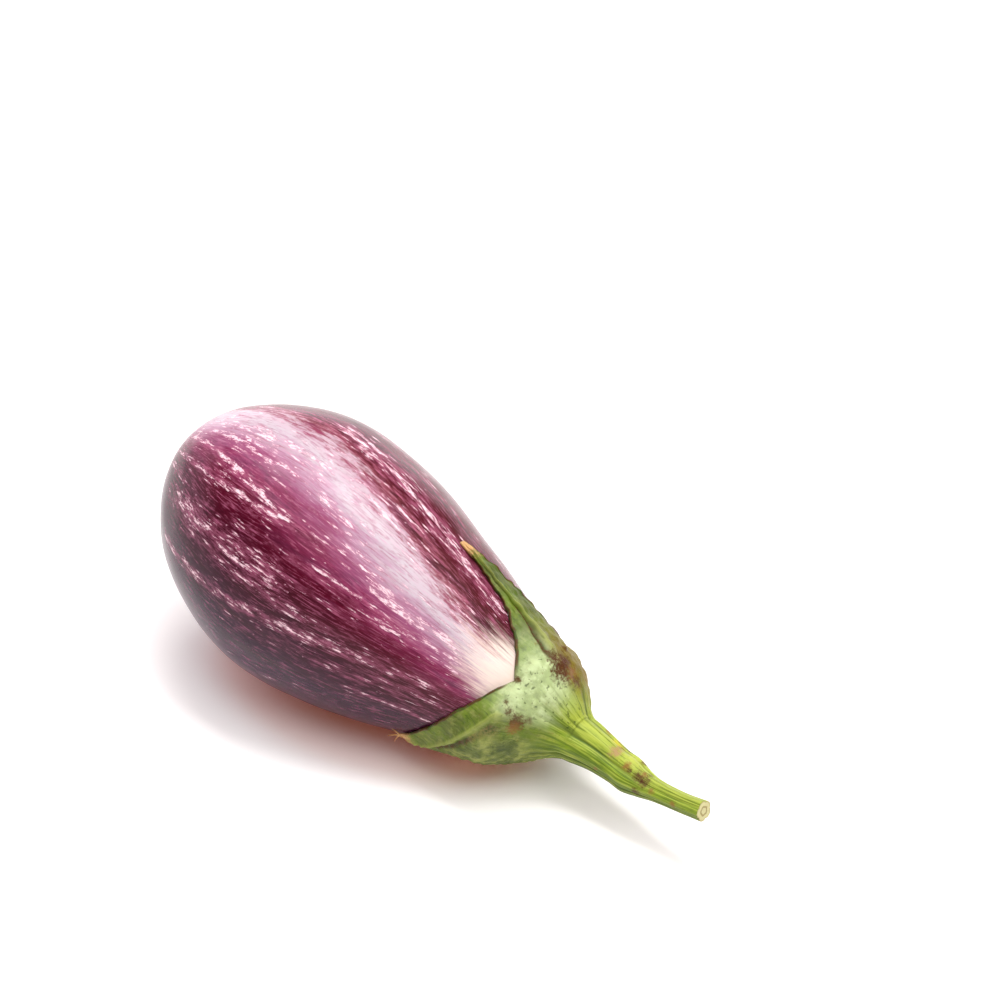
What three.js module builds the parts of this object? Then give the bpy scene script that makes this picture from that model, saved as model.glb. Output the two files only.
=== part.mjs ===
// A striped eggplant lying on its side, as picked: the fruit, the five-lobed calyx that
// grips its neck, and the cut stem. Lengths are in millimetres and +Z is up.
//
// The pieces are drawn in the fruit's own frame, with the blossom end at the origin and the
// fruit's axis along +X, and are then tipped and lowered to lie on the plane z = 0.
// Angles round the axis start at +Y and pass through +Z at 90 degrees. A meridian angle runs
// from 0 at the blossom end to 180 degrees at the top of the neck.

import * as THREE from 'three';
import { mergeVertices } from 'three/addons/utils/BufferGeometryUtils.js';

const DEGREE = Math.PI / 180;
const FULL_TURN = 2 * Math.PI;
const WELD_DISTANCE = 0.001;

// Fruit: a body of revolution, bowed a little and not quite round
const FRUIT_LENGTH = 155;
const GIRTH = 39.9; // mean radius of the belly
const TAPER = 7.4; // fattens the blossom half
const BLUNT = 0.8; // fills out both ends
const WAIST = 2.9; // draws the neck in
const SAG = 1.0; // how far the middle of the axis bows down
const SWAY = 1.4; // and towards -Y
const OVAL = 0.017; // share of the radius
const OVAL_AT = 83 * DEGREE;
const THREE_SIDED = 0.007;
const THREE_SIDED_AT = 100 * DEGREE;
const FRUIT_ROWS = 44;
const FRUIT_COLUMNS = 56;

// Resting pose: the neck hangs lower than the belly, which is pressed flat where it bears.
const NECK_DOWN = 13.7 * DEGREE;
const FLAT_DEPTH = 0.5;

// Calyx: a cup over the neck, closed above by the stem's root, and open below in five
// sepals. Along a sepal the share runs from 0 at the notches beside it to 1 at its tip.
const FIT_GAP = 0.4;
const SHOULDER = 152 * DEGREE;
const NOTCH = 144 * DEGREE;
const CUP_THICKNESS = 2.8;
const CUP_LEAN = 0.8; // thicker towards CUP_LEAN_AT, thinner opposite
const CUP_LEAN_AT = 340 * DEGREE;
const CUP_VALLEY = 0.7; // how far the cup sinks along the lines above the notches
const EDGE_THICKNESS = 0.8;
const ROOT_THICKNESS = 0.8; // added at the foot of each sepal
const TIP_HALF_ANGLE = 1.5 * DEGREE;
const ROOT_X = 158.5;
const ROOT_RADIUS = 7.7;

// The crown drops steeply to the stem on one side and runs gently into it around GENTLE_AT.
const GENTLE_AT = 215 * DEGREE;
const ROOT_PULL = { steep: 2, gentle: 8 };
const SHOULDER_PULL = { steep: 10, gentle: 6 };

const HALF_SEPAL_COLUMNS = 6;
const CROWN_ROWS = 7;
const CUP_ROWS = 2;
const SEPAL_ROWS = 10;
const NECK_ROWS = 7;

// left, keel and right are the angles of a sepal's edges and midrib at the notches, in
// degrees; tip is the angle of its point and reach the meridian angle there. bow bends the
// left edge, the midrib and the right edge: 1 is straight, more is hollow, less is full.
// lift parts the tip from the fruit. crest is the height of the midrib, and puff how far
// the left and right halves swell.
const SEPALS = [
  { left: 122, keel: 150, right: 243, tip: 219, reach: 119, bow: [1.2, 1.8, 0.8],
    lift: 0.3, crest: 1.4, puff: [0.8, 3.6] },
  { left: 243, keel: 265, right: 290, tip: 266, reach: 124, bow: [1.6, 1.2, 1.8],
    lift: 0.2, crest: 0.8, puff: [1.0, 1.0] },
  { left: 290, keel: 318, right: 345, tip: 320, reach: 124, bow: [1.8, 1.0, 1.8],
    lift: 0.6, crest: 1.0, puff: [1.4, 1.4] },
  { left: 345, keel: 370, right: 398, tip: 370, reach: 128, bow: [1.8, 1.0, 2.2],
    lift: 0.5, crest: 1.0, puff: [1.4, 1.4] },
  { left: 398, keel: 438, right: 482, tip: 436, reach: 108, bow: [1.0, 1.2, 3.0],
    lift: 0.3, crest: 0.8, puff: [0.6, 1.2] },
];

// Stem: ribbed, bent a little upwards, with a swollen joint and a cut end.
const STEM_PATH = [
  { x: 158.9, y: 0.0, z: 0.0, radius: 7.7 },
  { x: 160.9, y: 0.0, z: 0.0, radius: 7.1 },
  { x: 164.0, y: -0.1, z: 0.5, radius: 6.6 },
  { x: 168.7, y: -0.5, z: 1.2, radius: 5.9 },
  { x: 175.6, y: -1.3, z: 1.9, radius: 5.2 },
  { x: 180.6, y: -2.0, z: 2.7, radius: 5.2 },
  { x: 185.4, y: -2.8, z: 3.9, radius: 4.1 },
  { x: 191.1, y: -3.4, z: 5.7, radius: 3.1 },
  { x: 199.5, y: -4.3, z: 9.0, radius: 2.8 },
  { x: 206.9, y: -5.0, z: 12.4, radius: 2.9 },
];
const STEM_RIBS = 5;
const RIB_HEIGHT = 0.09; // share of the radius
const RIB_ROUNDNESS = 0.7; // less makes the ribs fuller and the grooves between them sharper
const RIB_AT = 96 * DEGREE;
const STEM_ROWS = 26;
const STEM_COLUMNS = 30;

const PLUM = 0x8a3a63;
const LEAF_GREEN = 0x7f9f55;
const STALK_GREEN = 0x9ab545;

function fruitPoint(meridian, angle, away = 0) {
  const middle = Math.sin(meridian) ** 2;
  const wave = (times) => Math.cos(times * meridian);
  const round = GIRTH + TAPER * wave(1) + BLUNT * (wave(2) + wave(4)) - WAIST * wave(3);
  const oval = OVAL * Math.cos(2 * (angle - OVAL_AT));
  const sided = THREE_SIDED * Math.cos(3 * (angle - THREE_SIDED_AT));
  const radius = Math.sin(meridian) * round * (1 + middle * (oval + sided));
  const point = new THREE.Vector3(
    (FRUIT_LENGTH / 2) * (1 - Math.cos(meridian)),
    radius * Math.cos(angle) - SWAY * middle,
    radius * Math.sin(angle) - SAG * middle,
  );
  if (away !== 0) {
    point.addScaledVector(fruitNormal(meridian, angle), away);
  }
  return point;
}

function fruitNormal(meridian, angle) {
  const step = 0.001;
  const along = fruitPoint(meridian + step, angle).sub(fruitPoint(meridian - step, angle));
  const round = fruitPoint(meridian, angle + step).sub(fruitPoint(meridian, angle - step));
  return round.cross(along).normalize();
}

// count + 1 evenly spaced values from first to last
function steps(count, first = 0, last = 1) {
  return Array.from({ length: count + 1 }, (_, i) => first + ((last - first) * i) / count);
}

const toRest = new THREE.Matrix4().makeRotationY(NECK_DOWN);
const belly = steps(FRUIT_ROWS, 0, Math.PI).flatMap((meridian) =>
  steps(FRUIT_COLUMNS, 0, FULL_TURN).map(
    (angle) => fruitPoint(meridian, angle).applyMatrix4(toRest).z,
  ),
);
toRest.setPosition(0, 0, -Math.min(...belly) - FLAT_DEPTH);

// Collects triangles in the fruit's frame and returns them as one closed geometry at rest.
class Skin {
  constructor() {
    this.corners = [];
  }

  triangle(a, b, c) {
    this.corners.push(a, b, c);
  }

  // rows of points; the outside is on the left of a walk along a row seen from above it
  grid(rows, reversed = false) {
    for (let i = 0; i + 1 < rows.length; i += 1) {
      for (let j = 0; j + 1 < rows[i].length; j += 1) {
        const quad = [rows[i][j], rows[i][j + 1], rows[i + 1][j + 1], rows[i + 1][j]];
        if (reversed) {
          quad.reverse();
        }
        this.triangle(quad[0], quad[1], quad[2]);
        this.triangle(quad[0], quad[2], quad[3]);
      }
    }
  }

  fan(centre, rim, reversed = false) {
    for (let j = 0; j + 1 < rim.length; j += 1) {
      if (reversed) {
        this.triangle(centre, rim[j + 1], rim[j]);
      } else {
        this.triangle(centre, rim[j], rim[j + 1]);
      }
    }
  }

  geometry() {
    const flat = [];
    for (const corner of this.corners) {
      const point = corner.clone().applyMatrix4(toRest);
      flat.push(point.x, point.y, Math.max(point.z, 0));
    }
    const loose = new THREE.BufferGeometry();
    loose.setAttribute('position', new THREE.Float32BufferAttribute(flat, 3));
    const welded = mergeVertices(loose, WELD_DISTANCE);
    welded.computeVertexNormals();
    return welded;
  }
}

function fruit() {
  const skin = new Skin();
  const angles = steps(FRUIT_COLUMNS, 0, FULL_TURN);
  const meridians = steps(FRUIT_ROWS, 0, Math.PI).slice(1, -1);
  const rows = meridians.map((meridian) => angles.map((angle) => fruitPoint(meridian, angle)));
  skin.fan(fruitPoint(0, 0), rows[0], true);
  skin.grid(rows);
  skin.fan(fruitPoint(Math.PI, 0), rows[rows.length - 1]);
  return skin.geometry();
}

// Angle round the fruit at a share of the way down a sepal; across runs from -1 at its left
// edge through 0 at the midrib to 1 at its right edge.
function sepalAngle(sepal, down, across) {
  const line = (start, bow) => sepal.tip + (start - sepal.tip) * (1 - down) ** bow;
  const blunt = TIP_HALF_ANGLE * down;
  const keel = line(sepal.keel, sepal.bow[1]) * DEGREE;
  const left = line(sepal.left, sepal.bow[0]) * DEGREE - blunt;
  const right = line(sepal.right, sepal.bow[2]) * DEGREE + blunt;
  const edge = across < 0 ? left : right;
  return keel + (edge - keel) * Math.abs(across);
}

function sepalThickness(sepal, down, across) {
  const side = Math.abs(across);
  const puff = THREE.MathUtils.lerp(
    sepal.puff[0], sepal.puff[1], THREE.MathUtils.smoothstep(across, -1, 1));
  const swell = sepal.crest * (1 - side) ** 2 + puff * (1 - side ** 3);
  return EDGE_THICKNESS + ROOT_THICKNESS * (1 - down) ** 3 + swell * (1 - down) ** 0.6;
}

function sepalPoint(sepal, down, across, outside) {
  const meridian = NOTCH + (sepal.reach * DEGREE - NOTCH) * down;
  const gap = FIT_GAP + sepal.lift * down ** 2;
  const height = outside ? gap + sepalThickness(sepal, down, across) : gap;
  return fruitPoint(meridian, sepalAngle(sepal, down, across), height);
}

// The cup between the shoulder (down = 0) and the line of the notches (down = 1)
function cupPoint(sepal, down, across) {
  const angle = sepalAngle(sepal, 0, across);
  const full = CUP_THICKNESS + CUP_LEAN * Math.cos(angle - CUP_LEAN_AT)
    - CUP_VALLEY * across ** 4;
  const thickness = THREE.MathUtils.lerp(full, sepalThickness(sepal, 0, across), down);
  return fruitPoint(THREE.MathUtils.lerp(SHOULDER, NOTCH, down), angle, FIT_GAP + thickness);
}

function ribbed(angle) {
  const rib = Math.abs(Math.cos((STEM_RIBS / 2) * (angle - RIB_AT))) ** RIB_ROUNDNESS;
  return 1 + RIB_HEIGHT * (2 * rib - 1);
}

// The crown of the cup: a smooth curve out of the stem's root and over the shoulder
function crownPoint(sepal, down, across) {
  const angle = sepalAngle(sepal, 0, across);
  const radius = ROOT_RADIUS * ribbed(angle);
  const root = new THREE.Vector3(ROOT_X, radius * Math.cos(angle), radius * Math.sin(angle));
  const shoulder = cupPoint(sepal, 0, across);
  const slope = cupPoint(sepal, 1, across).sub(shoulder).normalize();
  const gentle = THREE.MathUtils.smoothstep(Math.cos(angle - GENTLE_AT), -0.7, 0.5);
  const rootPull = THREE.MathUtils.lerp(ROOT_PULL.steep, ROOT_PULL.gentle, gentle);
  const shoulderPull = THREE.MathUtils.lerp(SHOULDER_PULL.steep, SHOULDER_PULL.gentle, gentle);
  const [t, t2, t3] = [down, down ** 2, down ** 3];
  return root
    .multiplyScalar(2 * t3 - 3 * t2 + 1)
    .addScaledVector(new THREE.Vector3(-rootPull, 0, 0), t3 - 2 * t2 + t)
    .addScaledVector(shoulder, 3 * t2 - 2 * t3)
    .addScaledVector(slope, shoulderPull * (t3 - t2));
}

function calyx() {
  const skin = new Skin();
  const across = steps(2 * HALF_SEPAL_COLUMNS, -1, 1);
  for (const sepal of SEPALS) {
    const row = (place, down) => across.map((share) => place(sepal, down, share));
    const crown = steps(CROWN_ROWS).map((down) => row(crownPoint, down));
    const cup = steps(CUP_ROWS).map((down) => row(cupPoint, down));
    const top = steps(SEPAL_ROWS).map((down) =>
      across.map((share) => sepalPoint(sepal, down, share, true)));
    const under = steps(SEPAL_ROWS).map((down) =>
      across.map((share) => sepalPoint(sepal, down, share, false)));
    const neck = steps(NECK_ROWS, Math.PI, NOTCH).slice(1).map((meridian) =>
      across.map((share) => fruitPoint(meridian, sepalAngle(sepal, 0, share), FIT_GAP)));
    skin.fan(new THREE.Vector3(ROOT_X, 0, 0), crown[0]);
    skin.grid(crown, true);
    skin.grid(cup, true);
    skin.grid(top, true);
    skin.fan(new THREE.Vector3(FRUIT_LENGTH + FIT_GAP, 0, 0), neck[0], true);
    skin.grid(neck);
    skin.grid(under);
    const edge = (rows, column) => rows.map((points) => points.at(column));
    skin.grid([edge(under, 0), edge(top, 0)]);
    skin.grid([edge(top, -1), edge(under, -1)]);
    skin.grid([under.at(-1), top.at(-1)]);
  }
  return skin.geometry();
}

function stem() {
  const skin = new Skin();
  const path = new THREE.CatmullRomCurve3(
    STEM_PATH.map(({ x, y, z }) => new THREE.Vector3(x, y, z)), false, 'centripetal');
  const sizes = new THREE.SplineCurve(
    STEM_PATH.map(({ radius }, i) => new THREE.Vector2(i, radius)));
  const across = new THREE.Vector3(0, 1, 0);
  const rows = steps(STEM_ROWS).map((share) => {
    const centre = path.getPoint(share);
    const ahead = path.getTangent(share);
    const up = ahead.clone().cross(across).normalize();
    const side = up.clone().cross(ahead);
    const size = sizes.getPoint(share).y;
    return steps(STEM_COLUMNS, 0, FULL_TURN).map((angle) =>
      centre.clone()
        .addScaledVector(side, size * ribbed(angle) * Math.cos(angle))
        .addScaledVector(up, size * ribbed(angle) * Math.sin(angle)));
  });
  skin.fan(path.getPoint(0), rows[0], true);
  skin.grid(rows);
  skin.fan(path.getPoint(1), rows[rows.length - 1]);
  return skin.geometry();
}

function piece(name, geometry, color, roughness) {
  const material = new THREE.MeshStandardMaterial({ color, roughness, metalness: 0 });
  const mesh = new THREE.Mesh(geometry, material);
  mesh.name = name;
  return mesh;
}

const eggplant = new THREE.Group();
eggplant.add(
  piece('fruit', fruit(), PLUM, 0.25),
  piece('calyx', calyx(), LEAF_GREEN, 0.7),
  piece('stem', stem(), STALK_GREEN, 0.65),
);

// The origin is under the middle of the whole eggplant, on the plane that it lies on.
const middle = new THREE.Box3().setFromObject(eggplant).getCenter(new THREE.Vector3());
eggplant.position.set(-middle.x, -middle.y, 0);

export default eggplant;
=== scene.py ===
"""A streaked plum-purple eggplant lying on its side on a white studio floor.

Every surface is a function of two angles, as in the CAD part: a meridian that runs from 0 at
the blossom end to 180 degrees at the neck, and an angle round the fruit's axis that starts at
+Y and passes through +Z at 90 degrees. Shapes are worked out in millimetres in the fruit's own
frame, tipped and lowered to rest on z = 0, and set in place by the CAD fruit's box.
"""
import math

import bmesh
import bpy
import numpy as np
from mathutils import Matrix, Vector


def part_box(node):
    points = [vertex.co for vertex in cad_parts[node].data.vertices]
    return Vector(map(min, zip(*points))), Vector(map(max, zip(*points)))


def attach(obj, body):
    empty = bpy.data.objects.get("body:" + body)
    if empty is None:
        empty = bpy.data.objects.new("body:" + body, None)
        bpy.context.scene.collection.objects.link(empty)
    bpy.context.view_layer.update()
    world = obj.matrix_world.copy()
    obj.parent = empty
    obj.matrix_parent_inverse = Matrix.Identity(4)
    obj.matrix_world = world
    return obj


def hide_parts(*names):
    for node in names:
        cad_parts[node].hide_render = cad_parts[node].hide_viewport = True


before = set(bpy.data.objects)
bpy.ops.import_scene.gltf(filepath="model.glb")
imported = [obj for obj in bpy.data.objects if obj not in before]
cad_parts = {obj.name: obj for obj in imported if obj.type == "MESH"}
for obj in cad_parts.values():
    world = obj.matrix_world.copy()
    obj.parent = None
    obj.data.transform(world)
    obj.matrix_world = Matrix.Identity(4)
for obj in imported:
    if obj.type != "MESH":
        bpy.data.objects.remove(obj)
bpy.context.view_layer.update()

MM = 0.001
DEG = math.pi / 180
PLACE = "Place"  # UV map: (turn, meridian) on fruit and calyx, (turn, share along) on the stem
SEPAL = "Sepal"  # UV map on the calyx: (across from -1 to 1, down from 0 to 1)

# ---------------------------------------------------------------- sizes, as in the CAD part

FRUIT_LENGTH = 155
GIRTH = 39.9
TAPER = 7.4
BLUNT = 0.8
WAIST = 2.9
SAG = 1.0
SWAY = 1.4
OVAL = 0.017
OVAL_AT = 83 * DEG
THREE_SIDED = 0.007
THREE_SIDED_AT = 100 * DEG
NECK_DOWN = 13.7 * DEG
FLAT_DEPTH = 0.5

SHOULDER = 152 * DEG
NOTCH = 144 * DEG
CUP_THICKNESS = 2.8
CUP_LEAN = 0.8
CUP_LEAN_AT = 340 * DEG
CUP_VALLEY = 0.7
ROOT_THICKNESS = 0.8
TIP_HALF_ANGLE = 1.5 * DEG
GENTLE_AT = 215 * DEG
ROOT_PULL = (2, 8)  # steep, gentle
SHOULDER_PULL = (10, 6)

# A sepal's angles at the notches (left, keel, right), its tip and how far it reaches, in
# degrees; then how its edges and keel bow, its lift at the tip, crest and swollen halves, and
# which way the dried threads at its tip curl.
SEPALS = [
    dict(left=122, keel=150, right=243, tip=219, reach=119, bow=(1.2, 1.8, 0.8),
         lift=0.3, crest=1.4, puff=(0.8, 3.6),
         threads=[(-0.8, -1.6, 1.4), (0.0, -2.6, -1.4), (2.6, -2.4, -1.8)]),
    dict(left=243, keel=265, right=290, tip=266, reach=124, bow=(1.6, 1.2, 1.8),
         lift=0.2, crest=0.8, puff=(1.0, 1.0),
         threads=[(-0.5, 1.2, -0.2)]),
    dict(left=290, keel=318, right=345, tip=320, reach=124, bow=(1.8, 1.0, 1.8),
         lift=0.6, crest=1.0, puff=(1.4, 1.4),
         threads=[(0.4, 1.6, -1.0), (-0.4, 1.0, 1.4)]),
    dict(left=345, keel=370, right=398, tip=370, reach=128, bow=(1.8, 1.0, 2.2),
         lift=0.5, crest=1.0, puff=(1.4, 1.4),
         threads=[(-0.4, 1.8, 0.8)]),
    dict(left=398, keel=438, right=482, tip=436, reach=108, bow=(1.0, 1.2, 3.0),
         lift=0.3, crest=0.8, puff=(0.6, 1.2),
         threads=[]),
]

# The stem's middle line and radius: x, y, z, radius
STEM_PATH = [
    (158.9, 0.0, 0.0, 7.7),
    (160.9, 0.0, 0.0, 7.1),
    (164.0, -0.1, 0.5, 6.6),
    (168.7, -0.5, 1.2, 5.9),
    (175.6, -1.3, 1.9, 5.2),
    (180.6, -2.0, 2.7, 5.2),
    (185.4, -2.8, 3.9, 4.1),
    (191.1, -3.4, 5.7, 3.1),
    (199.5, -4.3, 9.0, 2.8),
    (206.9, -5.0, 12.4, 2.9),
]
STEM_RIBS = 5
RIB_HEIGHT = 0.09
RIB_ROUNDNESS = 0.7
RIB_AT = 96 * DEG

# ---------------------------------------------------------------- finer than the CAD part

FRUIT_ROWS = 170
FRUIT_COLUMNS = 300
SKIN_UNEVENNESS = 0.16  # soft dents in the skin
SCAR_DEPTH = 0.9  # the blossom scar: a dimple with a knob in it and puckers round it
SCAR_WIDTH = 7 * DEG
KNOB_HEIGHT = 0.7
KNOB_WIDTH = 2.6 * DEG
PUCKERS = 9
PUCKER_HEIGHT = 0.14
PUCKER_WIDTH = 4 * DEG
FIT_GAP = 0.15  # the sepals lie closer to the skin than in the CAD part
EDGE_THICKNESS = 0.55
HALF_SEPAL_COLUMNS = 38
CROWN_ROWS = 46
CUP_ROWS = 20
SEPAL_ROWS = 90
MIDRIB_HEIGHT = 0.8
MIDRIB_WIDTH = 0.07  # in shares of half a sepal's width, as the groove's place and width are
GROOVE_DEPTH = 0.8
GROOVE_AT = 0.17
GROOVE_WIDTH = 0.08
VEINS = 5.5  # down a sepal
VEIN_SLANT = 2.4
VEIN_HEIGHT = 0.07
RIM_HEIGHT = 0.25
WRINKLE_HEIGHT = 0.15
QUIET_SKIN = (125 * DEG, 140 * DEG)  # the calyx lies on smooth skin
RAGGEDNESS = 0.6  # of a sepal's edges, in degrees
CROWN_END = 176 * DEG
ROOT_X = 159.4  # the crown laps over the stem's root, so that no gap or crease shows
ROOT_RADIUS = 7.6
ROOT_FLARE = 0.3
NUB = np.array([143.0, 9.7, 17.7])  # a small dried scar that stands up on the cup
NUB_HEIGHT = 1.0
NUB_WIDTH = 0.7
THREAD_LENGTH = 4.2
THREAD_RADIUS = 0.34
THREAD_TAPER = 0.7
THREAD_START = 0.7  # of the way to the tip from a few rows behind it
ROWS_BEHIND_TIP = 7
THREAD_ROWS = 14
THREAD_COLUMNS = 8
STEM_ROWS = 230
STEM_COLUMNS = 120
STEM_LENGTH = 50.0  # along its middle line
CUT_ROWS = 13
ROOT_DEPTH = 2.5  # how far the stem's root runs on inside the crown
FINE_RIBS = 17
FINE_RIB_HEIGHT = 0.012


def srgb(red, green, blue):
    """Linear RGBA from the usual 0 to 255 values."""
    def linear(value):
        value /= 255
        return value / 12.92 if value <= 0.04045 else ((value + 0.055) / 1.055) ** 2.4
    return (linear(red), linear(green), linear(blue), 1.0)


def smooth(low, high, value):
    share = np.clip((value - low) / (high - low), 0, 1)
    return share * share * (3 - 2 * share)


def unevenness(points, wavelength, seed, waves=20):
    """Smooth random height, mostly between -1 and 1, with the given wavelength."""
    draw = np.random.default_rng(seed)
    directions = draw.normal(size=(waves, 3))
    directions /= np.linalg.norm(directions, axis=1)[:, None]
    phases = draw.uniform(0, 2 * math.pi, waves)
    total = np.zeros(points.shape[:-1])
    for direction, phase in zip(directions, phases):
        total += np.sin(points @ direction * (2 * math.pi / wavelength) + phase)
    return total / math.sqrt(waves)


# ---------------------------------------------------------------- shapes

def fruit_point(meridian, angle, away=None):
    meridian, angle = np.broadcast_arrays(meridian, angle)
    middle = np.sin(meridian) ** 2
    body = (GIRTH + TAPER * np.cos(meridian) - WAIST * np.cos(3 * meridian)
            + BLUNT * (np.cos(2 * meridian) + np.cos(4 * meridian)))
    unround = (OVAL * np.cos(2 * (angle - OVAL_AT))
               + THREE_SIDED * np.cos(3 * (angle - THREE_SIDED_AT)))
    radius = np.sin(meridian) * body * (1 + middle * unround)
    point = np.stack([
        FRUIT_LENGTH / 2 * (1 - np.cos(meridian)),
        radius * np.cos(angle) - SWAY * middle,
        radius * np.sin(angle) - SAG * middle,
    ], axis=-1)
    if away is None:
        return point
    return point + fruit_normal(meridian, angle) * np.asarray(away)[..., None]


def fruit_normal(meridian, angle, step=0.001):
    along = fruit_point(meridian + step, angle) - fruit_point(meridian - step, angle)
    round_ = fruit_point(meridian, angle + step) - fruit_point(meridian, angle - step)
    normal = np.cross(round_, along)
    return normal / np.maximum(np.linalg.norm(normal, axis=-1), 1e-9)[..., None]


def tip_down(points):
    turned = points.copy()
    turned[..., 0] = points[..., 0] * math.cos(NECK_DOWN) + points[..., 2] * math.sin(NECK_DOWN)
    turned[..., 2] = points[..., 2] * math.cos(NECK_DOWN) - points[..., 0] * math.sin(NECK_DOWN)
    return turned


def resting_shift():
    """What moves the tipped fruit onto the CAD fruit: x and y by its box, z by its flat spot."""
    low, high = (np.array(corner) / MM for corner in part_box("fruit"))
    skin = tip_down(fruit_point(np.linspace(0, math.pi, 241)[:, None],
                                np.linspace(0, 2 * math.pi, 361)[None, :]))
    skin_low = skin.min(axis=(0, 1))
    skin_high = skin.max(axis=(0, 1))
    return np.array([
        low[0] - skin_low[0],
        (low[1] + high[1] - skin_low[1] - skin_high[1]) / 2,
        -skin_low[2] - FLAT_DEPTH,
    ])


SHIFT = resting_shift()


def at_rest(points):
    """From the fruit's own frame in millimetres to the shared frame in metres."""
    placed = tip_down(points) + SHIFT
    placed[..., 2] = np.maximum(placed[..., 2], 0)
    return placed * MM


class Skin:
    """Collects grids of points into one welded, smooth mesh with its UV maps."""

    def __init__(self, *maps):
        self.maps = maps
        self.points = []
        self.faces = []
        self.uvs = []
        self.count = 0

    def grid(self, points, *uvs, flip=False):
        rows, columns = points.shape[:2]
        index = np.arange(rows * columns).reshape(rows, columns) + self.count
        quads = np.stack([index[:-1, :-1], index[:-1, 1:], index[1:, 1:], index[1:, :-1]], -1)
        quads = quads.reshape(-1, 4)
        self.faces.append(quads[:, ::-1] if flip else quads)
        self.points.append(points.reshape(-1, 3))
        self.uvs.append([uv.reshape(-1, 2) for uv in uvs])
        self.count += rows * columns

    def piece(self, name, material):
        points = at_rest(np.concatenate(self.points))
        faces = np.concatenate(self.faces)
        mesh = bpy.data.meshes.new(name)
        mesh.from_pydata(points.tolist(), [], faces.tolist())
        for number, title in enumerate(self.maps):
            values = np.concatenate([uv[number] for uv in self.uvs])
            layer = mesh.uv_layers.new(name=title)
            layer.data.foreach_set("uv", values[faces.ravel()].ravel())
        weld(mesh)
        mesh.materials.append(material)
        piece = bpy.data.objects.new(name, mesh)
        bpy.context.scene.collection.objects.link(piece)
        return piece


def weld(mesh, distance=2e-6):
    work = bmesh.new()
    work.from_mesh(mesh)
    bmesh.ops.remove_doubles(work, verts=work.verts, dist=distance)
    for face in work.faces:
        face.smooth = True
    work.to_mesh(mesh)
    work.free()


def uv_grid(first, second):
    first, second = np.broadcast_arrays(first, second)
    return np.stack([first, second], axis=-1)


def skin_relief(meridian, angle, points):
    """Soft dents all over, and a puckered scar where the flower was."""
    dents = SKIN_UNEVENNESS * unevenness(points, wavelength=34, seed=3)
    dents = dents + 0.3 * SKIN_UNEVENNESS * unevenness(points, wavelength=13, seed=4)
    quiet = 1 - smooth(*QUIET_SKIN, meridian)
    scar = -SCAR_DEPTH * np.exp(-((meridian / SCAR_WIDTH) ** 2))
    knob = KNOB_HEIGHT * np.exp(-((meridian / KNOB_WIDTH) ** 2))
    pucker = PUCKER_HEIGHT * np.cos(PUCKERS * angle + 1.5 * np.sin(2 * angle))
    pucker = pucker * np.exp(-(((meridian - SCAR_WIDTH) / PUCKER_WIDTH) ** 2))
    return dents * quiet + scar + knob + pucker


def make_fruit(material):
    meridian = np.linspace(0, math.pi, FRUIT_ROWS + 1)[:, None]
    angle = np.linspace(0, 2 * math.pi, FRUIT_COLUMNS + 1)[None, :]
    bare = fruit_point(meridian, angle)
    relief = skin_relief(meridian, angle, bare)
    inner = np.clip(meridian, 1e-4, math.pi - 1e-4)
    points = bare + fruit_normal(inner, angle) * relief[..., None]
    skin = Skin(PLACE)
    skin.grid(points, uv_grid(angle / (2 * math.pi), meridian / math.pi))
    return skin.piece("fruit_skin", material)


def ragged(down, start):
    """How far a sepal's edge strays, in degrees; the start angle makes every edge differ."""
    waves = (np.sin(19 * down + start) + 0.7 * np.sin(43 * down + 2 * start)
             + 0.5 * np.sin(88 * down + 3 * start))
    return RAGGEDNESS * waves * smooth(0, 0.15, down) * smooth(1, 0.7, down)


def sepal_angle(sepal, down, across):
    def line(start, bow):
        return sepal["tip"] + (start - sepal["tip"]) * (1 - down) ** bow
    keel = line(sepal["keel"], sepal["bow"][1]) * DEG
    left = (line(sepal["left"], sepal["bow"][0]) + ragged(down, sepal["left"])) * DEG
    right = (line(sepal["right"], sepal["bow"][2]) - ragged(down, sepal["right"])) * DEG
    left = left - TIP_HALF_ANGLE * down
    right = right + TIP_HALF_ANGLE * down
    return keel + np.where(across < 0, left - keel, right - keel) * np.abs(across)


def sepal_thickness(sepal, down, across):
    side = np.abs(across)
    left, right = sepal["puff"]
    puff = left + (right - left) * smooth(-1, 1, across)
    swell = sepal["crest"] * (1 - side) ** 2 + puff * (1 - side ** 3)
    return EDGE_THICKNESS + ROOT_THICKNESS * (1 - down) ** 3 + swell * (1 - down) ** 0.6


def ribbed(angle):
    rib = np.abs(np.cos(STEM_RIBS / 2 * (angle - RIB_AT))) ** RIB_ROUNDNESS
    return (1 + RIB_HEIGHT * (2 * rib - 1)
            + FINE_RIB_HEIGHT * np.cos(FINE_RIBS * angle))


def cup_point(sepal, down, across):
    angle = sepal_angle(sepal, 0 * down, across)
    full = CUP_THICKNESS + CUP_LEAN * np.cos(angle - CUP_LEAN_AT) - CUP_VALLEY * across ** 4
    edge = sepal_thickness(sepal, 0 * down, across)
    meridian = SHOULDER + (NOTCH - SHOULDER) * down
    return fruit_point(meridian, angle, FIT_GAP + full + (edge - full) * down)


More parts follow.
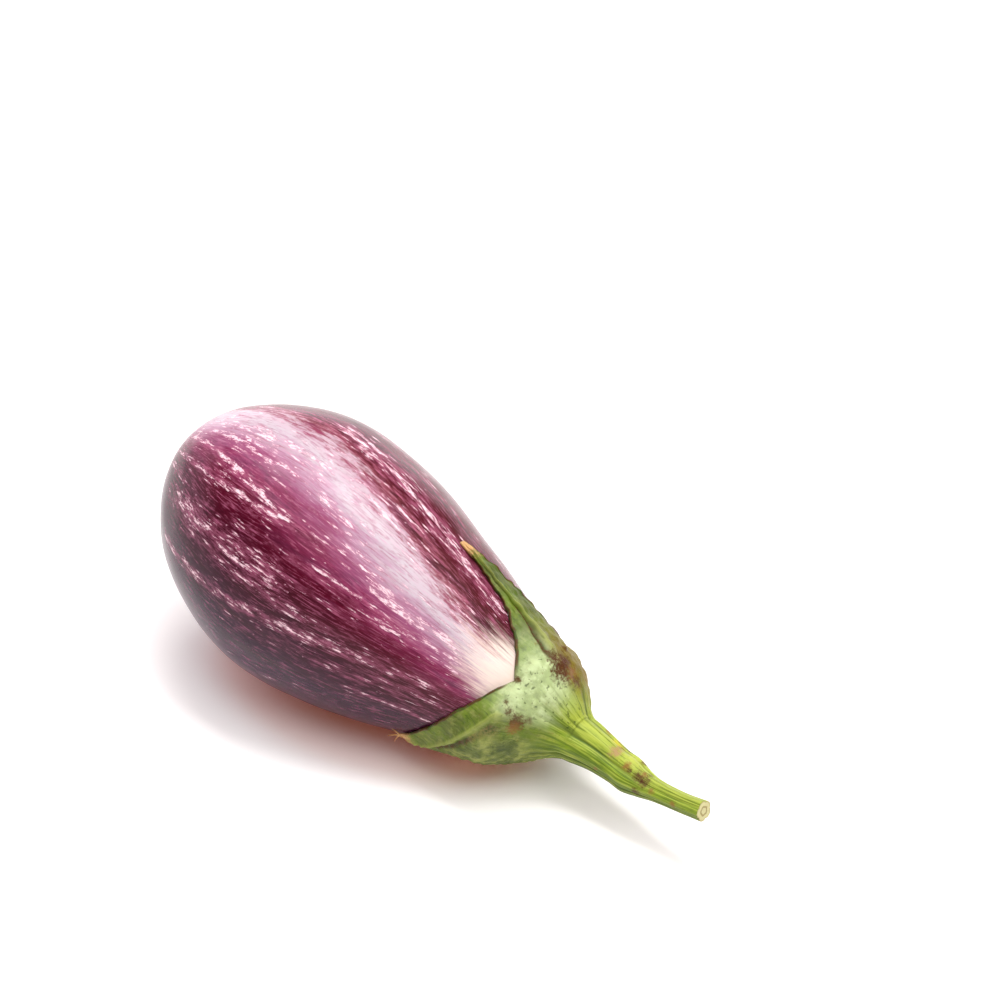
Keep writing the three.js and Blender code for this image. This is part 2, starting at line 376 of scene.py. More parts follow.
def crown_point(sepal, down, across):
    angle = sepal_angle(sepal, 0 * down, across)
    radius = ROOT_RADIUS * ribbed(angle)
    root = np.stack([ROOT_X + 0 * angle, radius * np.cos(angle), radius * np.sin(angle)], -1)
    flare = np.stack([-1 + 0 * angle, ROOT_FLARE * np.cos(angle), ROOT_FLARE * np.sin(angle)], -1)
    first = cup_point(sepal, 0 * down, across)
    slope = cup_point(sepal, 0 * down + 1, across) - first
    slope = slope / np.linalg.norm(slope, axis=-1)[..., None]
    gentle = smooth(-0.7, 0.5, np.cos(angle - GENTLE_AT))[..., None]
    root_pull = ROOT_PULL[0] + (ROOT_PULL[1] - ROOT_PULL[0]) * gentle
    shoulder_pull = SHOULDER_PULL[0] + (SHOULDER_PULL[1] - SHOULDER_PULL[0]) * gentle
    t = (down + 0 * across)[..., None]
    return (root * (2 * t ** 3 - 3 * t ** 2 + 1)
            + flare * root_pull * (t ** 3 - 2 * t ** 2 + t)
            + first * (3 * t ** 2 - 2 * t ** 3)
            + slope * shoulder_pull * (t ** 3 - t ** 2))


def calyx_relief(across, down, points):
    """Midribs with a groove beside them, side veins, thick rims and wrinkles. Down runs from
    -2 at the stem's root through -1 at the shoulder and 0 at the notches to 1 at the tip."""
    side = np.abs(across)
    inside = smooth(1.0, 0.9, side)
    long = smooth(-0.5, 0.1, down) * smooth(1.0, 0.85, down) * inside
    midrib = MIDRIB_HEIGHT * np.exp(-((across / MIDRIB_WIDTH) ** 2))
    groove = -GROOVE_DEPTH * np.exp(-(((across - GROOVE_AT) / GROOVE_WIDTH) ** 2))
    vein = np.maximum(np.cos(2 * math.pi * (VEINS * down - VEIN_SLANT * side)), 0) ** 3
    veins = VEIN_HEIGHT * vein * smooth(0.15, 0.35, side) * smooth(0.0, 0.15, down)
    rim = RIM_HEIGHT * smooth(0.88, 0.97, side) * smooth(0.0, 0.15, down)
    rim = rim * smooth(1.0, 0.9, down)
    wrinkles = WRINKLE_HEIGHT * (unevenness(points, wavelength=7, seed=11)
                                 + unevenness(points, wavelength=3, seed=12))
    wrinkles = wrinkles * smooth(-1.98, -1.7, down) * smooth(1.0, 0.9, down)
    nub = NUB_HEIGHT * np.exp(-np.sum((points - NUB) ** 2, axis=-1) / NUB_WIDTH ** 2)
    return (midrib + groove + veins) * long + rim + wrinkles + nub


def thread(skin, start, ahead, curl):
    """A dried fibre that curls away from the tip of a sepal, in the fruit's frame."""
    share = np.linspace(0, 1, THREAD_ROWS + 1)[:, None]
    ahead = np.array(ahead) / np.linalg.norm(ahead)
    bend = np.array(curl)
    path = np.array(start) + ahead * THREAD_LENGTH * share + bend * share ** 2
    way = ahead * THREAD_LENGTH + 2 * bend * share
    way = way / np.linalg.norm(way, axis=1)[:, None]
    side = np.cross(way, [1.0, 0.3, 0.2])
    side = side / np.linalg.norm(side, axis=1)[:, None]
    up = np.cross(side, way)
    angle = np.linspace(0, 2 * math.pi, THREAD_COLUMNS + 1)
    radius = THREAD_RADIUS * (1 - THREAD_TAPER * share)
    ring = (path[:, None] + side[:, None] * (radius * np.cos(angle))[..., None]
            + up[:, None] * (radius * np.sin(angle))[..., None])
    tip = np.repeat(path[-1][None, None], THREAD_COLUMNS + 1, axis=1)
    points = np.concatenate([ring, tip])
    where = np.full(points.shape[:2] + (2,), 0.5)
    spot = where * 0 + np.array([0.0, 1.0])
    skin.grid(points, where, spot, flip=True)


def make_calyx(material):
    skin = Skin(PLACE, SEPAL)
    across = np.linspace(-1, 1, 2 * HALF_SEPAL_COLUMNS + 1)[None, :]

    def outside(bare, angle, meridian, down):
        relief = calyx_relief(across, down, bare)
        points = bare + fruit_normal(meridian, angle) * relief[..., None]
        where = uv_grid(angle / (2 * math.pi), meridian / math.pi)
        skin.grid(points, where, uv_grid(across, down), flip=True)
        return points

    for sepal in SEPALS:
        down = np.linspace(0, 1, CROWN_ROWS + 1)[:, None]
        angle = sepal_angle(sepal, 0 * down, across)
        outside(crown_point(sepal, down, across), angle,
                CROWN_END + (SHOULDER - CROWN_END) * down, down - 2)
        down = np.linspace(0, 1, CUP_ROWS + 1)[:, None]
        angle = sepal_angle(sepal, 0 * down, across)
        outside(cup_point(sepal, down, across), angle,
                SHOULDER + (NOTCH - SHOULDER) * down, down - 1)
        down = np.linspace(0, 1, SEPAL_ROWS + 1)[:, None]
        angle = sepal_angle(sepal, down, across)
        meridian = NOTCH + (sepal["reach"] * DEG - NOTCH) * down
        gap = FIT_GAP + sepal["lift"] * down ** 2 + 0 * across
        bare = fruit_point(meridian, angle, gap + sepal_thickness(sepal, down, across))
        above = outside(bare, angle, meridian, down)
        under = fruit_point(meridian, angle, gap)
        where = uv_grid(angle / (2 * math.pi), meridian / math.pi)
        spot = uv_grid(across, down)
        skin.grid(under, where, spot)
        for column in (0, -1):
            edge = np.stack([under[:, column], above[:, column]], axis=1)
            skin.grid(edge, where[:, [column, column]], spot[:, [column, column]],
                      flip=column == 0)
        skin.grid(np.stack([under[-1], above[-1]]), where[[-1, -1]], spot[[-1, -1]])
        tip = above[-1, HALF_SEPAL_COLUMNS]
        behind = above[-1 - ROWS_BEHIND_TIP, HALF_SEPAL_COLUMNS]
        for curl in sepal["threads"]:
            thread(skin, behind + THREAD_START * (tip - behind), tip - behind, curl)
    return skin.piece("calyx_cap", material)


def spline(stations, rows):
    """Catmull-Rom curve through the stations, evenly spaced, and its direction."""
    stations = np.array(stations, float)
    padded = np.vstack([2 * stations[0] - stations[1], stations, 2 * stations[-1] - stations[-2]])
    fine = []
    for a, b, c, d in zip(padded, padded[1:], padded[2:], padded[3:]):
        for t in np.linspace(0, 1, 20, endpoint=False):
            fine.append(0.5 * (2 * b + (c - a) * t + (2 * a - 5 * b + 4 * c - d) * t * t
                               + (3 * b - a - 3 * c + d) * t ** 3))
    fine = np.array(fine + [stations[-1]])
    length = np.r_[0, np.cumsum(np.linalg.norm(np.diff(fine[:, :3], axis=0), axis=1))]
    at = np.linspace(0, length[-1], rows)
    points = np.stack([np.interp(at, length, fine[:, k]) for k in range(fine.shape[1])], -1)
    ahead = np.gradient(points[:, :3], axis=0)
    return points, ahead / np.linalg.norm(ahead, axis=1)[:, None]


def make_stem(material):
    points, ahead = spline(STEM_PATH, STEM_ROWS + 1)
    angle = np.linspace(0, 2 * math.pi, STEM_COLUMNS + 1)
    up = np.cross(ahead, [0, 1, 0])
    up /= np.linalg.norm(up, axis=1)[:, None]
    side = np.cross(up, ahead)
    share = np.linspace(0, 1, STEM_ROWS + 1)[:, None]

    def ring(index, radius):
        return (points[index, None, :3]
                + side[index, None] * (radius * np.cos(angle))[..., None]
                + up[index, None] * (radius * np.sin(angle))[..., None])

    rows = np.arange(STEM_ROWS + 1)
    radius = points[:, 3][:, None] * ribbed(angle)[None, :]
    skin = Skin(PLACE)
    turn = angle / (2 * math.pi)
    skin.grid(ring(rows, radius), uv_grid(turn[None, :], share))
    inward = np.linspace(0, 1, CUT_ROWS)[:, None]
    face = ring(np.full(CUT_ROWS, STEM_ROWS), radius[-1][None, :] * (1 - inward))
    skin.grid(face, uv_grid(turn[None, :], 1 + inward))
    root = ring(np.full(3, 0), radius[0][None, :] * np.array([[0.0], [0.97], [1.0]]))
    root[:2, :, 0] -= ROOT_DEPTH
    skin.grid(root, uv_grid(turn[None, :], np.zeros((3, 1))))
    return skin.piece("stem_stalk", material)


# ---------------------------------------------------------------- materials

class Graph:
    """Short calls for one material's nodes. Each returns the node's output socket."""

    def __init__(self, name):
        self.material = bpy.data.materials.new(name)
        self.material.use_nodes = True
        self.tree = self.material.node_tree
        self.shader = self.tree.nodes["Principled BSDF"]

    def feed(self, socket, value):
        if isinstance(value, bpy.types.NodeSocket):
            self.tree.links.new(value, socket)
        else:
            socket.default_value = value

    def node(self, kind, inputs, output=0, **settings):
        new = self.tree.nodes.new("ShaderNode" + kind)
        for key, value in settings.items():
            setattr(new, key, value)
        for key, value in inputs.items():
            self.feed(new.inputs[key], value)
        return new.outputs[output]

    def math(self, operation, first, second=0.0, third=0.0):
        inputs = {0: first, 1: second, 2: third}
        return self.node("Math", inputs, operation=operation)

    def times(self, first, second):
        return self.math("MULTIPLY", first, second)

    def plus(self, first, second):
        return self.math("ADD", first, second)

    def vector(self, operation, first, second):
        return self.node("VectorMath", {0: first, 1: second}, operation=operation)

    def split(self, vector):
        new = self.tree.nodes.new("ShaderNodeSeparateXYZ")
        self.feed(new.inputs[0], vector)
        return new.outputs[0], new.outputs[1], new.outputs[2]

    def join(self, x, y, z):
        return self.node("CombineXYZ", {0: x, 1: y, 2: z})

    def rise(self, value, low, high):
        """0 below low, 1 above high, smooth between; low above high falls instead."""
        return self.node("MapRange", {"Value": value, "From Min": low, "From Max": high},
                         interpolation_type="SMOOTHSTEP")

    def noise(self, vector, detail=2.0, roughness=0.5, distortion=0.0, output=0):
        return self.node("TexNoise", {
            "Vector": vector, "Scale": 1.0, "Detail": detail, "Roughness": roughness,
            "Distortion": distortion}, output=output)

    def speckle(self, place, per_metre, detail=2.0, roughness=0.5):
        """Noise alike in all directions, with so many waves in a metre."""
        return self.noise(self.vector("MULTIPLY", place, (per_metre,) * 3), detail, roughness)

    def wrap(self, angle, radius, along):
        """A place on a cylinder, so that noise meets itself where the angle comes round."""
        return self.join(self.times(self.math("COSINE", angle), radius),
                         self.times(self.math("SINE", angle), radius), along)

    def cells(self, vector):
        """Distance to the nearest cell's middle, and that cell's random colour."""
        new = self.tree.nodes.new("ShaderNodeTexVoronoi")
        new.voronoi_dimensions = "2D"
        self.feed(new.inputs["Vector"], vector)
        new.inputs["Scale"].default_value = 1.0
        return new.outputs["Distance"], new.outputs["Color"]

    def mix(self, factor, first, second):
        return self.node("Mix", {0: factor, 6: first, 7: second}, output=2, data_type="RGBA")

    def map(self, name):
        return self.node("UVMap", {}, uv_map=name)

    def near(self, place, point, radius, grit):
        """Fills in round a point of the fruit's frame, in flecks where the grit is high."""
        spot = at_rest(np.array(point, float))
        away = self.node("VectorMath", {0: place, 1: tuple(spot)}, output=1, operation="DISTANCE")
        close = self.times(self.rise(away, 2.2 * radius * MM, 0.0), 1.7)
        return self.rise(self.plus(close, self.times(grit, 3.4)), 2.3, 3.5)

    def ramp(self, value, stops):
        """Colour by value, from a list of (value, colour)."""
        low, high = stops[0][0], stops[-1][0]
        new = self.tree.nodes.new("ShaderNodeValToRGB")
        self.feed(new.inputs[0], self.node("MapRange", {
            "Value": value, "From Min": float(low), "From Max": float(high)}))
        marks = new.color_ramp.elements
        marks[0].color = stops[0][1]
        marks[-1].color = stops[-1][1]
        for at, colour in stops[1:-1]:
            marks.new((at - low) / (high - low)).color = colour
        return new.outputs[0]

    def bump(self, height, strength, distance):
        return self.node("Bump", {"Strength": strength, "Distance": distance, "Height": height})

    def set(self, **values):
        for key, value in values.items():
            self.feed(self.shader.inputs[key.replace("_", " ")], value)


# Skin: the streaks, what darkens and lightens the ground between them, and the two ends
STREAK = srgb(250, 218, 226)
FAINT = srgb(190, 104, 136)
# lighter mottles inside the painted highlight band
HIGHLIGHT_BLUSH = srgb(208, 164, 186)
SHADE = srgb(48, 5, 20)
# darker mottles inside the painted highlight band, kept lighter there as painted highlight
HIGHLIGHT_ROSE = srgb(150, 66, 100)
CREAM = srgb(246, 226, 212)
BLOSSOM_END = srgb(112, 44, 72)
SCAR = srgb(140, 98, 74)

# Ground colour round the fruit: degrees past the painted highlight, and the colour there
GROUND = [
    (-85, srgb(90, 22, 34)),
    # crimson skin on the far side of the top, darkened further as painted shade, to -20
    (-40, srgb(78, 11, 20)),
    (-20, srgb(78, 13, 20)),
    # paler skin along the top, lightened further as painted highlight, up to 26
    (-13, srgb(136, 64, 78)),
    (-7, srgb(196, 172, 182)),
    (2, srgb(198, 186, 194)),
    (10, srgb(174, 134, 156)),
    (17, srgb(152, 80, 116)),
    (26, srgb(130, 44, 80)),
    (36, srgb(86, 8, 34)),
    # dark purple skin on the lower front flank, darkened further as painted shade, to 120
    (50, srgb(66, 4, 24)),
    (84, srgb(46, 4, 38)),
    (120, srgb(46, 9, 48)),
    (170, srgb(80, 24, 54)),
    (230, srgb(94, 26, 48)),
    (275, srgb(90, 22, 34)),
]
# where the painted highlight runs along the top
HIGHLIGHT_AT = 95.0  # angle of the pale ridge over the fat end, in degrees
HIGHLIGHT_BEND = 70.0  # the meridian from which it drifts downhill
HIGHLIGHT_DRIFT = 0.5  # and how far it moves there with each degree of the meridian

CREAM_AT = 130.0  # the meridian that the cream skin reaches at a notch, in degrees
CREAM_WIDENING = 92.0  # and how fast it draws back beside the notch

BELLY = 41.0  # mm from the axis, for turning angles into lengths
MERIDIAN_LENGTH = 250.0  # mm, for turning meridians into lengths

# Where streaks crowd together: angle and drift of the band from its start to its end, its half
# width, start and end on the meridian, all in degrees, and how crowded it is.
BANDS = [
    (116, 128, 4.0, 27, 84, 1.0),
    (133, 129, 3.0, 26, 80, 1.0),
    (136, 136, 2.5, 88, 124, 0.9),
    (153, 149, 9.0, 42, 84, 0.8),
    (179, 158, 4.5, 42, 128, 0.8),
    (184, 187, 2.5, 108, 126, 0.9),
    (74, 86, 9.0, 66, 130, 1.0),
    (94, 90, 3.5, 84, 106, 0.6),
    (104, 112, 3.0, 40, 90, 0.6),
]


def skin_material():
    g = Graph("skin")
    turn, share, _ = g.split(g.map(PLACE))
    angle = g.times(turn, 2 * math.pi)
    meridian = g.times(share, 180.0)
    degrees = g.times(turn, 360.0)
    grain = g.wrap(angle, BELLY, g.times(share, MERIDIAN_LENGTH))
    wander = g.noise(g.vector("MULTIPLY", grain, (0.07, 0.07, 0.03)), detail=1.0, output=1)
    wander = g.vector("MULTIPLY", g.vector("SUBTRACT", wander, (0.5, 0.5, 0.5)), (3, 3, 0))
    grain = g.vector("ADD", grain, wander)
    shiver = g.noise(g.vector("MULTIPLY", grain, (1.2, 1.2, 0.5)), detail=2.0, output=1)
    shiver = g.vector("MULTIPLY", g.vector("SUBTRACT", shiver, (0.5, 0.5, 0.5)), (0.9, 2.0, 0))
    flat = g.join(g.times(degrees, BELLY * DEG), g.times(share, MERIDIAN_LENGTH), 0.0)
    flat = g.vector("ADD", g.vector("ADD", flat, wander), shiver)

    def lengthwise(width, length, detail=2.0, roughness=0.5):
        return g.noise(g.vector("MULTIPLY", grain, (1 / width, 1 / width, 1 / length)),
                       detail, roughness)

    def dashes(width, length, slimmest, thickest, filled, shift):
        """Lens-shaped marks along the grain, at most one in each width by length in mm; the
        slimmest and thickest are shares of the width, and so many of the cells are filled."""
        cell = g.vector("MULTIPLY", g.vector("ADD", flat, (shift, 3.7 * shift, 0)),
                        (1 / width, 1 / length, 1))
        away, chance = g.cells(cell)
        size, presence, _ = g.split(chance)
        radius = g.plus(g.times(size, thickest - slimmest), slimmest)
        mark = g.rise(g.math("DIVIDE", away, radius), 1.1, 0.1)
        return g.times(mark, g.math("LESS_THAN", presence, filled))

    # ground colour, drawn out along the grain and mottled at every scale
    mottle = lengthwise(1.1, 5.0, 6.0, 0.72)
    coarse = lengthwise(4.5, 26, 4.0, 0.62)
    # the line of the painted highlight along the top, and degrees past it
    past_bend = g.math("MAXIMUM", g.math("SUBTRACT", meridian, HIGHLIGHT_BEND), 0.0)
    highlight_ridge = g.plus(g.times(past_bend, HIGHLIGHT_DRIFT), HIGHLIGHT_AT)
    off = g.math("SUBTRACT", degrees, highlight_ridge)
    stray = g.plus(g.times(g.math("SUBTRACT", coarse, 0.5), 34.0),
                   g.times(g.math("SUBTRACT", mottle, 0.5), 26.0))
    ground = g.ramp(g.plus(off, stray), GROUND)
    ground = g.mix(g.rise(meridian, 30.0, 8.0), ground, BLOSSOM_END)
    # the band of painted highlight, where mottles and lines are lighter
    highlight_band = g.times(g.rise(off, -17.0, -9.0), g.rise(off, 26.0, 12.0))
    darker = g.mix(highlight_band, SHADE, HIGHLIGHT_ROSE)
    ground = g.mix(g.times(g.rise(coarse, 0.50, 0.34), 0.45), ground, darker)
    ground = g.mix(g.times(g.rise(mottle, 0.50, 0.32), 0.55), ground, darker)
    fainter = g.mix(highlight_band, FAINT, HIGHLIGHT_BLUSH)
    ground = g.mix(g.times(g.rise(mottle, 0.50, 0.72), 0.45), ground, fainter)

    # streaks: crowded bands of ragged dashes, fewer of them elsewhere
    calm = g.times(g.rise(off, 56.0, 74.0), g.rise(off, 150.0, 130.0))
    calm = g.math("SUBTRACT", 1.0, g.times(calm, 0.85))
    crowd = g.times(g.times(g.rise(lengthwise(5, 60), 0.50, 0.66), 0.55), calm)
    for first, last, width, start, end, strength in BANDS:
        along = g.node("MapRange", {"Value": meridian, "From Min": start, "From Max": end,
                                    "To Min": first, "To Max": last})
        near = g.rise(g.math("ABSOLUTE", g.math("SUBTRACT", degrees, along)), width, 0.0)
        within = g.times(g.rise(meridian, start - 4.0, start + 4.0),
                         g.rise(meridian, end + 4.0, end - 4.0))
        crowd = g.math("MAXIMUM", crowd, g.times(g.times(near, within), strength))
    hair = lengthwise(0.5, 7.0, 3.0, 0.6)
    ground = g.mix(g.times(g.times(g.rise(hair, 0.52, 0.70), calm), 0.5), ground, fainter)
    lines = g.times(g.plus(g.times(highlight_band, 0.15), 0.40), g.plus(g.times(calm, 0.5), 0.5))
    ground = g.mix(g.times(g.rise(hair, 0.48, 0.30), lines), ground, darker)
    haze = g.times(crowd, g.rise(mottle, 0.36, 0.60))
    ground = g.mix(g.times(haze, 0.45), ground, fainter)

    wear = g.rise(lengthwise(0.6, 1.8, 3.0, 0.65), 0.34, 0.60)
    wear = g.plus(g.times(wear, 0.6), 0.4)
    ragged = lengthwise(1.7, 9.0, 6.0, 0.70)
    thicker = g.plus(g.times(crowd, 0.17), g.times(highlight_band, 0.06))
    brush = g.rise(g.plus(ragged, thicker), 0.62, 0.73)
    long = dashes(1.6, 24, 0.14, 0.34, g.plus(g.times(crowd, 0.80), g.times(calm, 0.12)), 0)
    short = dashes(1.3, 9, 0.16, 0.38, g.plus(g.times(crowd, 0.80), g.times(calm, 0.08)), 57)
    dot = dashes(1.6, 3.4, 0.10, 0.24, g.plus(g.times(crowd, 0.30), g.times(calm, 0.05)), 91)
    mark = g.math("MAXIMUM", g.math("MAXIMUM", long, short), g.times(dot, 0.7))
    mark = g.times(mark, g.plus(g.times(g.rise(mottle, 0.36, 0.56), 0.6), 0.4))
    streak = g.times(g.math("MAXIMUM", mark, brush), wear)
    colour = g.mix(streak, ground, g.mix(g.rise(streak, 0.2, 0.8), FAINT, STREAK))

    # cream skin where the calyx shaded it, at each notch between two sepals
    fringe = g.times(g.math("SUBTRACT", lengthwise(1.1, 14, 5.0, 0.66), 0.5), 34.0)
    reach = g.plus(meridian, fringe)
    cream = 0.0
    for sepal in SEPALS:
        away = g.math("SUBTRACT", 1.0, g.math("COSINE", g.math("SUBTRACT", angle,
                                                               sepal["left"] * DEG)))
        edge = g.plus(g.times(away, CREAM_WIDENING), CREAM_AT)
        cream = g.math("MAXIMUM", cream, g.rise(g.math("SUBTRACT", reach, edge), -10.0, 9.0))
    colour = g.mix(g.times(cream, 0.92), colour, CREAM)

    # blossom scar
    scar = g.rise(g.plus(meridian, g.times(g.noise(grain, 3.0), 3.0)), 8.0, 4.0)
    colour = g.mix(scar, colour, SCAR)

    pores = g.noise(g.vector("MULTIPLY", grain, (1.1, 1.1, 0.9)), detail=3.0)
    height = g.plus(g.times(pores, 0.5), g.times(streak, 0.5))
    g.set(Base_Color=colour,
          Roughness=g.plus(g.plus(g.times(streak, 0.08), g.times(scar, 0.3)), 0.38),
          Normal=g.bump(height, 0.10, 0.0002),
          Specular_IOR_Level=0.0, Coat_Weight=1.0, Coat_Roughness=0.22, Coat_IOR=1.30)
    return g.material


# Calyx, stem and their marks
LEAF = srgb(112, 136, 30)
LEAF_DEEP = srgb(54, 72, 8)
LEAF_DULL = srgb(92, 102, 38)
LEAF_MIST = srgb(168, 176, 90)
MINT = srgb(212, 228, 172)
OLIVE = srgb(132, 104, 22)
RUST = srgb(80, 38, 4)
RUST_PALE = srgb(140, 94, 40)
DRIED = srgb(204, 160, 104)
STALK = srgb(126, 152, 26)
STALK_DEEP = srgb(70, 94, 12)
STALK_PALE = srgb(188, 196, 78)
STALK_YELLOW = srgb(206, 196, 54)
SCUFF_PINK = srgb(172, 126, 90)
CUT = srgb(220, 214, 156)
CUT_RING = srgb(160, 138, 70)

CAP_RADIUS = 20.0  # mm from the axis, for turning angles into lengths
STALK_RADIUS = 6.5

# Marks on the calyx: place in the fruit's frame and radius in millimetres, colour, strength
CALYX_MARKS = [
    ((140.9, -11.0, 17.5), 1.8, RUST, 0.95),
    ((143.9, 2.3, 20.3), 2.6, RUST, 0.8),
    ((147.7, 2.9, 17.5), 4.8, RUST, 1.0),
    ((146.4, 5.0, 18.0), 3.4, RUST, 0.9),
    ((149.6, 5.6, 15.2), 2.6, RUST_PALE, 0.8),
    ((151.9, 5.6, 13.4), 2.0, RUST, 0.8),
    ((138.6, 1.7, 22.5), 1.0, RUST, 0.8),
    ((147.3, -15.9, 7.7), 2.8, RUST, 0.9),
    ((147.2, -16.6, 5.4), 2.4, RUST_PALE, 0.7),
    ((144.4, -17.2, 11.2), 1.5, RUST, 0.8),
    ((149.5, -12.9, 8.0), 1.4, RUST, 0.6),
    ((142.7, -16.9, 13.5), 0.9, RUST, 0.8),
    ((142.1, -23.9, 1.5), 4.6, LEAF_MIST, 0.4),
    ((146.1, -19.5, -1.6), 3.4, LEAF_DEEP, 0.6),
    ((150.5, 13.0, 9.0), 3.0, OLIVE, 0.7),
    ((142.0, 6.0, -25.0), 3.0, RUST_PALE, 0.7),
    ((148.0, 18.0, -4.0), 2.4, RUST, 0.6),
]

# Marks on the stem: share of its length, angle in degrees, radius, colour, strength
STEM_MARKS = [
    (0.31, 98, 2.2, SCUFF_PINK, 0.8),
    (0.30, 66, 1.6, RUST_PALE, 0.7),
    (0.26, 60, 2.0, STALK_YELLOW, 0.8),
    (0.42, 82, 3.2, STALK_PALE, 0.8),
    (0.42, 116, 1.5, RUST_PALE, 0.9),
    (0.45, 122, 0.9, RUST, 0.9),
    (0.52, 120, 1.9, RUST, 0.9),
    (0.54, 98, 1.2, RUST_PALE, 0.8),
    (0.57, 126, 1.8, RUST, 0.85),
    (0.48, 38, 1.6, RUST, 0.9),
    (0.57, 76, 1.0, RUST, 0.8),
    (0.26, 182, 0.9, RUST_PALE, 0.8),
    (0.55, 186, 1.6, RUST, 0.85),
    (0.64, 150, 1.0, RUST_PALE, 0.7),
    (0.81, 166, 1.0, RUST_PALE, 0.8),
    (0.18, 42, 1.3, RUST_PALE, 0.8),
    (0.27, 38, 1.1, RUST, 0.8),
    (0.36, 36, 1.3, RUST, 0.8),
    (0.36, 280, 1.5, RUST_PALE, 0.8),
    (0.62, 330, 1.3, RUST, 0.7),
]


def stalk_colour(g, angle, along, fibre, blotch):
    """Green stalk, yellower above as painted light, deeper below and dark in the grooves between
    its ribs as painted shade.
    """
    above = g.math("COSINE", g.math("SUBTRACT", angle, 75 * DEG))
    colour = g.mix(g.rise(blotch, 0.36, 0.64), STALK, LEAF)
    # painted shade on the under side and painted light on the upper side
    colour = g.mix(g.times(g.rise(above, 0.1, -0.8), 0.8), colour, STALK_DEEP)
    colour = g.mix(g.times(g.rise(above, 0.2, 0.95), 0.5), colour, STALK_PALE)
    colour = g.mix(g.times(g.rise(fibre, 0.46, 0.66), 0.55), colour, STALK_PALE)
    colour = g.mix(g.times(g.rise(fibre, 0.5, 0.36), 0.7), colour, STALK_DEEP)
    # painted shade in the grooves between the ribs
    rib = g.math("ABSOLUTE", g.math("COSINE", g.times(
        g.math("SUBTRACT", angle, RIB_AT), STEM_RIBS / 2)))
    groove = g.times(g.rise(rib, 0.34, 0.04), g.rise(along, 34.0, 12.0))
    return g.mix(g.times(groove, 0.75), colour, STALK_DEEP)


def stalk_fibre(g, angle, along):
    """Long fine fibres, the same on the stem and on the crown above it."""
    grain = g.wrap(angle, STALK_RADIUS, along)
    return g.noise(g.vector("MULTIPLY", grain, (1.5, 1.5, 0.09)), 4.0, 0.6)


